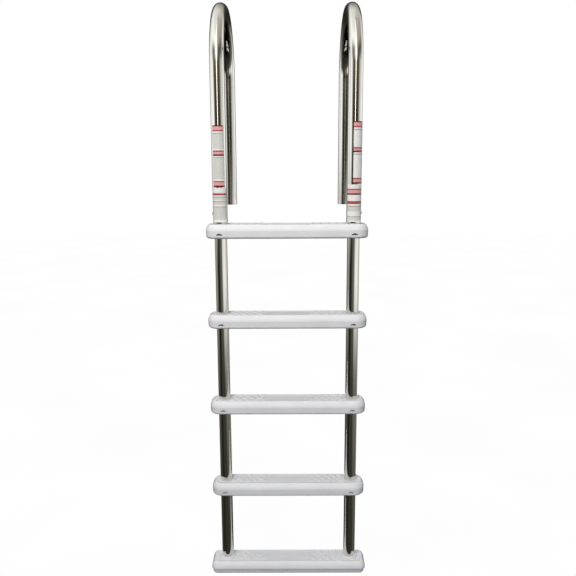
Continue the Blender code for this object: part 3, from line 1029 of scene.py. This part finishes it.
def plug_mesh(flange, thickness, spigot_length):
    """A domed flange above z = 0 and a hollow spigot below with three fins."""
    edge = [(flange * s, thickness - 0.8 * MM * s**4) for s in np.linspace(0.25, 1.0, 8)]
    z = np.linspace(0, -spigot_length, 25)
    fins = INNER_RADIUS - 0.5 * MM + 0.5 * MM * np.sin(-z / spigot_length * 3 * math.tau / 2) ** 2
    core = INNER_RADIUS - 3 * MM
    profile = [(0, thickness), *edge, (flange, 0), *zip(fins, z), (core, -spigot_length), (core, 0), (0, 0)]
    return turned_mesh("plug", profile, TUBE_SIDES)


print("the tube's bore leaves a plug", round(2 * INNER_RADIUS / MM, 2), "mm")


# %% Nylon pieces in their tubes
def nylon_piece(node, mesh, x, z, body, upside_down=False):
    """A nylon piece on its rail's axis, standing for its node."""
    placed = mesh.copy()
    turn = Euler((math.pi if upside_down else 0, 0, 0)).to_matrix().to_4x4()
    placed.transform(Matrix.Translation((x, 0, z)) @ turn)
    return new_piece(f"{node}_moulding", placed, NYLON, body, "grey_nylon", node, sharp=30)


bush_low, bush_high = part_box("right_slip_bush")
plug_low, plug_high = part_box("right_rail_top_plug")
foot_plug_low, foot_plug_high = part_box("right_rail_foot_plug")
FLANGE = 3 * MM
bush = bush_mesh(0.0, bush_high.z - bush_low.z)
top_plug = plug_mesh((plug_high.x - plug_low.x) / 2, FLANGE, plug_high.z - plug_low.z - FLANGE)
foot_plug = plug_mesh(RAIL_RADIUS, FLANGE, foot_plug_high.z - foot_plug_low.z - FLANGE)
for side, sign in SIDES.items():
    x = sign * RAIL_X
    nylon_piece(f"{side}_slip_bush", bush, x, bush_low.z, f"{side}_handrail_set")
    nylon_piece(f"{side}_rail_top_plug", top_plug, x, plug_high.z - FLANGE, "lower_section")
    nylon_piece(f"{side}_rail_foot_plug", foot_plug, x, foot_plug_low.z + FLANGE, "lower_section", True)
print("nylon pieces:", 3 * len(SIDES))

# %% [markdown]
# ## Label films
#
# Two films of white vinyl wrap the front of each handrail. Real ones carry print. These carry
# only plain bands and panels of colour. A film is a strip of cylinder with a real thickness, and
# its flat map is in metres: across the strip and up from its foot. The bands are a colour ramp
# read up that map, so they bend with the film.

# %% Label films
FILM = 0.2 * MM
FILM_LIFT = 0.25 * MM
FILM_COLUMNS = 48


def film_mesh(name, low_z, high_z, width, facing, x):
    """Angle across the width and height up: the outer skin, and the inner one run back."""
    inner = HAND_RADIUS + FILM_LIFT
    half = width / (2 * inner)
    angle = np.linspace(-half, half, FILM_COLUMNS)
    loop = np.concatenate([angle, angle[::-1]])
    radius = np.concatenate([np.full(FILM_COLUMNS, inner + FILM), np.full(FILM_COLUMNS, inner)])
    place_x = x + radius * np.cos(facing + loop)
    place_y = radius * np.sin(facing + loop)
    heights = np.linspace(low_z, high_z, 9)
    wall = np.stack(np.broadcast_arrays(place_x[None], place_y[None], heights[:, None]), -1)
    order = [wall[:1, :FILM_COLUMNS], wall[:1, FILM_COLUMNS:][:, ::-1]]
    mid = (order[0] + order[1]) / 2
    foot = np.concatenate([mid, mid[:, ::-1]], axis=1)
    head = foot + [0, 0, high_z - low_z]
    points = np.concatenate([foot, wall, head])
    across = (np.append(loop, -half) + half) * inner
    up = np.concatenate([[low_z], heights, [high_z]]) - low_z
    uv = np.stack(np.broadcast_arrays(across[None], up[:, None]), -1)
    return close_mesh(grid_mesh(name, points, False, True, uv))


print("films are", FILM / MM, "mm thick")


# %% Printed vinyl
def vinyl(name, height, bands):
    """Calendered white vinyl with printed bands: bands are (height from the foot in mm, hex)."""
    material, tree, shader = new_material(name, IOR=1.52, Coat_Weight=0.25, Coat_Roughness=0.15)
    place = add_node(tree, "ShaderNodeTexCoord").outputs["UV"]
    up = add_node(tree, "ShaderNodeSeparateXYZ", {"Vector": place}).outputs["Y"]
    share = add_node(tree, "ShaderNodeMath", {0: up}, {1: 1 / height}, operation="MULTIPLY")
    stops = [(z * MM / height, colour) for z, colour in bands]
    printed = add_ramp(tree, share.outputs["Value"], stops, "CONSTANT")
    wear = add_node(tree, "ShaderNodeTexNoise", {"Vector": place}, {"Scale": 1 / 0.004, "Detail": 4.0})
    worn = add_ramp(tree, wear.outputs["Fac"], [(0.35, "#f2efec"), (0.6, "#ffffff")])
    colour = add_node(
        tree,
        "ShaderNodeMix",
        {"A": printed, "B": worn},
        {"Factor": 1.0},
        data_type="RGBA",
        blend_type="MULTIPLY",
    )
    tree.links.new(colour.outputs["Result"], shader.inputs["Base Color"])
    rough = add_node(
        tree,
        "ShaderNodeMapRange",
        {"Value": wear.outputs["Fac"]},
        {"To Min": 0.3, "To Max": 0.5},
    )
    tree.links.new(rough.outputs["Result"], shader.inputs["Roughness"])
    return material


# %% Label bands
PAPER, PANEL, PALE_ROW = "#fbfbf8", "#dfe0da", "#b9b2aa"
RED, PINK, DARK_RED = "#b8525a", "#eeb0ac", "#6a1016"


def banner(low, high, foot=DARK_RED, head=RED):
    """A pink band between two red lines."""
    return [(low, foot), (low + 5, PINK), (high - 4.5, head), (high, PAPER)]


def panel(low, high, tone=PANEL):
    """A pale grey panel where fine print would be, with a darker row at its head."""
    return [(low, tone), (high - 3, PALE_ROW), (high, PAPER)]


LABELS = {
    # label: (width, degrees that its middle is turned outboard, bands upwards from its foot in mm)
    "left_upper_label": (
        40 * MM,
        0,
        banner(0, 20)
        + panel(26, 96)
        + banner(100, 117)
        + panel(123, 173)
        + banner(177, 197, RED, DARK_RED),
    ),
    "left_lower_label": (
        56 * MM,
        0,
        [(0, PAPER)] + panel(8, 52) + panel(58, 70) + panel(74, 84) + [(88, RED), (95, PAPER)],
    ),
    "right_upper_label": (
        40 * MM,
        34,
        banner(0, 19)
        + panel(26, 96, PAPER)
        + banner(101, 117)
        + panel(124, 174, PAPER)
        + banner(179, 199, RED, DARK_RED),
    ),
    "right_lower_label": (
        56 * MM,
        0,
        [(0, PAPER)] + panel(4, 18) + panel(34, 52) + [(58, RED), (68, PAPER)] + banner(88, 108),
    ),
}
for node, (width, outboard, bands) in LABELS.items():
    side = node.split("_")[0]
    sign = SIDES[side]
    low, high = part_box(node)
    facing = math.radians(-90 + sign * outboard)
    mesh = film_mesh(node, low.z, high.z, width, facing, sign * RAIL_X)
    film_material = vinyl(f"label_vinyl_{node}", high.z - low.z, bands)
    new_piece(f"{node}_film", mesh, film_material, f"{side}_handrail_set", "label_vinyl", node, sharp=30)
print("labels:", len(LABELS))

# %% [markdown]
# ## A studio for polished steel
#
# A polished tube shows the room, so the room is designed. White resin wants one big soft light
# from the front and above, and a white surround. A mirror in a white room turns white and vanishes,
# so the steel is given a room of dark and bright cards instead.
#
# The sky makes both: it asks each ray what it is. A ray from the camera finds plain white, a
# bounced soft ray finds a gentle sky, and a mirrored ray finds the ring of cards. Each ring of cards
# is a ramp round the horizon, at its own height, and the rings blend into each other. Between the
# two front cards a narrow gap lets warm light through: it draws the fine line on the front legs.

# %% Cards
CARDS = {
    # height of the ring in degrees: (degrees round from the front towards +X, grey level)
    70: [(-180, 210), (-60, 225), (0, 215), (30, 175), (90, 170), (180, 210)],
    45: [
        (-180, 140), (-140, 225), (-100, 245), (-20, 250), (0, 250), (14, 210), (30, 160), (100, 150),
        (130, 180), (180, 140),
    ],
    25: [
        (-180, 45), (-145, 60), (-125, 190), (-90, 240), (-74, 235), (-60, 125), (-35, 115), (-20, 180),
        (-8, 248), (6, 248), (18, 180), (30, 80), (70, 82), (88, 110), (108, 215), (135, 215), (148, 60),
        (180, 45),
    ],
    3: [
        (-180, 30), (-152, 40), (-140, 120), (-126, 230), (-60, 245), (-48, 150), (-38, 60), (-24, 32),
        (-10, 44), (0, 44), (15, 36), (26, 34), (38, 70), (48, 125), (64, 195), (85, 220), (110, 240),
        (128, 248), (142, 120), (154, 40), (180, 30),
    ],
    -9: [
        (-180, 30), (-150, 40), (-130, 120), (-100, 150), (-82, 120), (-60, 34), (-40, 16), (-26, 60),
        (-8, 92), (12, 98), (20, 130), (33, 225), (85, 238), (110, 200), (132, 170), (148, 50), (180, 30),
    ],
    -20: [
        (-180, 26), (-145, 40), (-110, 90), (-84, 66), (-58, 28), (-38, 34), (-14, 60), (6, 48), (22, 58),
        (38, 95), (62, 104), (88, 96), (112, 115), (130, 140), (146, 50), (180, 26),
    ],
    -31: [
        (-180, 18), (-130, 60), (-95, 56), (-62, 28), (-30, 42), (0, 50), (36, 46), (56, 60), (76, 82),
        (110, 78), (132, 60), (150, 24), (180, 14),
    ],
    -50: [(-180, 5), (-60, 3), (60, 4), (180, 5)],
}
SHADE_TINT = np.array([0.0, 0.05, 0.19])  # a black card is short of this much green and blue
CARD_STRENGTH = 1.32
GAP_HALF = 3.3  # degrees to each side of the front
GAP_EDGE = 0.5  # degrees over which the gap's light fades at a card's edge
GAP_FOOT = (-3, 2)  # degrees of height over which the gap's light begins
GAP_LIGHT = (2.5, 2.3, 1.75, 1.0)  # warm, and brighter than the cards
SOFT_LIGHT_FROM = (0.0, -0.7, 0.71)
SOFT_LEVELS = (0.04, 0.72)  # square to the soft light and straight towards it


def card_level(grey):
    """A grey level as it shows on screen, as a hex colour: the darker the card, the browner."""
    share = 1 - SHADE_TINT * (1 - grey / 255)
    return "#" + "".join(f"{int(round(grey * part)):02x}" for part in share)


def card_rings(tree, angle, height):
    """The rings' colours: each ring is a ramp round the horizon, blended upwards into the next."""
    around = add_node(
        tree,
        "ShaderNodeMapRange",
        {"Value": angle},
        {"From Min": -math.pi, "From Max": math.pi},
    )
    mixed, previous = None, None
    for degrees, cards in CARDS.items():
        stops = [((place + 180) / 360, card_level(grey)) for place, grey in cards]
        ring = add_ramp(tree, around.outputs["Result"], stops)
        if mixed is None:
            mixed = ring
        else:
            share = add_node(
                tree,
                "ShaderNodeMapRange",
                {"Value": height},
                {"From Min": math.radians(previous), "From Max": math.radians(degrees)},
                interpolation_type="SMOOTHSTEP",
            )
            blend = add_node(
                tree,
                "ShaderNodeMix",
                {"Factor": share.outputs["Result"], "A": mixed, "B": ring},
                data_type="RGBA",
            )
            mixed = blend.outputs["Result"]
        previous = degrees
    return mixed


def with_gap(tree, angle, height, cards):
    """The cards' colours with the narrow warm gap at the front: inside it where the angle from the
    front is small and the height is above the gap's foot."""
    aside = add_node(tree, "ShaderNodeMath", {0: angle}, operation="ABSOLUTE")
    across = add_node(
        tree,
        "ShaderNodeMapRange",
        {"Value": aside.outputs["Value"]},
        {"From Min": math.radians(GAP_HALF), "From Max": math.radians(GAP_HALF - GAP_EDGE)},
    )
    upward = add_node(
        tree,
        "ShaderNodeMapRange",
        {"Value": height},
        {"From Min": math.radians(GAP_FOOT[0]), "From Max": math.radians(GAP_FOOT[1])},
    )
    inside = add_node(
        tree,
        "ShaderNodeMath",
        {0: across.outputs["Result"], 1: upward.outputs["Result"]},
        operation="MULTIPLY",
    )
    lit = add_node(
        tree,
        "ShaderNodeMix",
        {"Factor": inside.outputs["Value"], "A": cards},
        {"B": GAP_LIGHT},
        data_type="RGBA",
    )
    return lit.outputs["Result"]


def soft_sky(tree, direction):
    """A cool soft light, strongest from the front and above: its level follows the cosine."""
    toward_light = add_node(
        tree,
        "ShaderNodeVectorMath",
        {0: direction},
        {1: SOFT_LIGHT_FROM},
        operation="DOT_PRODUCT",
    )
    level = add_node(
        tree,
        "ShaderNodeMapRange",
        {"Value": toward_light.outputs["Value"]},
        {"From Min": 0.0, "From Max": 1.0, "To Min": SOFT_LEVELS[0], "To Max": SOFT_LEVELS[1]},
    )
    return add_node(
        tree,
        "ShaderNodeBackground",
        {"Strength": level.outputs["Result"]},
        {"Color": linear("#f6f8ff")},
    )


print("darkest card:", card_level(16), "and brightest:", card_level(250))


# %% World
def build_sky():
    """The world: white to the camera, soft light for diffuse rays, rings of cards for mirrors."""
    world = bpy.data.worlds.new("studio")
    bpy.context.scene.world = world
    world.use_nodes = True
    tree = world.node_tree
    ray = add_node(tree, "ShaderNodeLightPath")
    direction = add_node(tree, "ShaderNodeTexCoord").outputs["Generated"]
    parts = add_node(tree, "ShaderNodeSeparateXYZ", {"Vector": direction})
    front = add_node(tree, "ShaderNodeMath", {0: parts.outputs["Y"]}, {1: -1.0}, operation="MULTIPLY")
    angle = add_node(
        tree,
        "ShaderNodeMath",
        {0: parts.outputs["X"], 1: front.outputs["Value"]},
        operation="ARCTAN2",
    ).outputs["Value"]
    height = add_node(tree, "ShaderNodeMath", {0: parts.outputs["Z"]}, operation="ARCSINE").outputs["Value"]
    cards = with_gap(tree, angle, height, card_rings(tree, angle, height))
    cards_light = add_node(tree, "ShaderNodeBackground", {"Color": cards}, {"Strength": CARD_STRENGTH})
    soft_light = soft_sky(tree, direction)
    white = add_node(tree, "ShaderNodeBackground", values={"Color": (1, 1, 1, 1), "Strength": 1.0})
    bounced = add_node(
        tree,
        "ShaderNodeMixShader",
        {0: ray.outputs["Is Glossy Ray"], 1: soft_light.outputs[0], 2: cards_light.outputs[0]},
    )
    seen = add_node(
        tree,
        "ShaderNodeMixShader",
        {0: ray.outputs["Is Camera Ray"], 1: bounced.outputs[0], 2: white.outputs[0]},
    )
    tree.links.new(seen.outputs[0], tree.nodes["World Output"].inputs["Surface"])


build_sky()
print("rings of cards:", len(CARDS))

# %% [markdown]
# ## Floor, key light and camera
#
# The floor is a sheet of lit white acrylic, as on a product table, so it is as pale as the
# surround. It shows to the camera only: a mirrored or bounced ray passes on to the sky.
#
# The key light is a large soft box in front and above. A weak one behind, level with the ladder,
# keeps the far side readable. The camera stands two metres off, a little above the top tread, and
# looks down ten degrees.

# %% Floor
def acrylic():
    """Opal acrylic lit from below: even and pale, with a faint clouding in the sheet."""
    material, tree, shader = new_material("lit_acrylic", Roughness=0.6)
    place = add_node(tree, "ShaderNodeTexCoord").outputs["Object"]
    cloud = add_node(tree, "ShaderNodeTexNoise", {"Vector": place}, {"Scale": 1 / 0.8, "Detail": 2.0})
    colour = add_ramp(tree, cloud.outputs["Fac"], [(0.3, "#fdfdfd"), (0.7, "#ffffff")])
    tree.links.new(colour, shader.inputs["Emission Color"])
    shader.inputs["Emission Strength"].default_value = 1.0
    shader.inputs["Base Color"].default_value = (0, 0, 0, 1)
    shader.inputs["Specular IOR Level"].default_value = 0.0
    return material


FLOOR_HALF = 12.0
FLOOR_Z = -0.5 * MM  # just under the foot tread
corner = np.array([-FLOOR_HALF, FLOOR_HALF])
floor_grid = np.stack(np.broadcast_arrays(corner[None, :], corner[:, None], FLOOR_Z), -1)
floor_mesh = grid_mesh("floor", floor_grid)
floor_mesh.materials.append(acrylic())
floor = bpy.data.objects.new("floor", floor_mesh)
bpy.context.scene.collection.objects.link(floor)
floor.visible_glossy = False
floor.visible_diffuse = False
floor.visible_shadow = False
floor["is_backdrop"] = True
print("floor is", 2 * FLOOR_HALF, "m wide")

# %% Lights and camera
def soft_box(name, place, look, width, height, watts, colour):
    """A rectangular area light at a place, turned towards a point. Mirrors don't show it."""
    data = bpy.data.lights.new(name, "AREA")
    data.shape = "RECTANGLE"
    data.size = width
    data.size_y = height
    data.energy = watts
    data.color = linear(colour)[:3]
    light = bpy.data.objects.new(name, data)
    light.location = place
    light.rotation_euler = (Vector(look) - Vector(place)).to_track_quat("-Z", "Y").to_euler()
    light.visible_glossy = False
    bpy.context.scene.collection.objects.link(light)


soft_box("key", (-0.8, -2.3, 3.0), (0, 0, 0.8), 1.8, 1.2, 60.0, "#fffdf8")
soft_box("back_fill", (0.4, 3.2, 0.9), (0, 0, 0.9), 2.0, 2.0, 48.0, "#f4f8ff")

LENS = 40.17  # mm, on a 36 mm sensor
CAMERA_PLACE = (0.0107, -2.1517, TOP_TREAD_Z + 0.1801)
LOOK_DOWN = math.radians(10.53)
LOOK_LEFT = math.radians(0.22)
ROLL = math.radians(-0.25)

camera_data = bpy.data.cameras.new("camera")
camera_data.lens = LENS
camera_data.sensor_width = 36.0
camera = bpy.data.objects.new("camera", camera_data)
camera.location = CAMERA_PLACE
aim = Euler((math.pi / 2 - LOOK_DOWN, 0, LOOK_LEFT)).to_matrix() @ Matrix.Rotation(ROLL, 3, "Z")
camera.rotation_euler = aim.to_euler()
bpy.context.scene.collection.objects.link(camera)
bpy.context.scene.camera = camera
bpy.context.scene.view_settings.view_transform = "Standard"
print("camera at", CAMERA_PLACE)

# %% [markdown]
# ## Last look at the size
#
# The new surfaces must fill the frame's box and not grow past it. The difference of the
# two boxes is printed.

# %% Size and finish
low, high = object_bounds()
growth = [round(1000 * ((b - a) - (d - c)), 2) for a, b, c, d in zip(low, high, cad_low, cad_high)]
print("visual box minus frame box in mm:", growth)
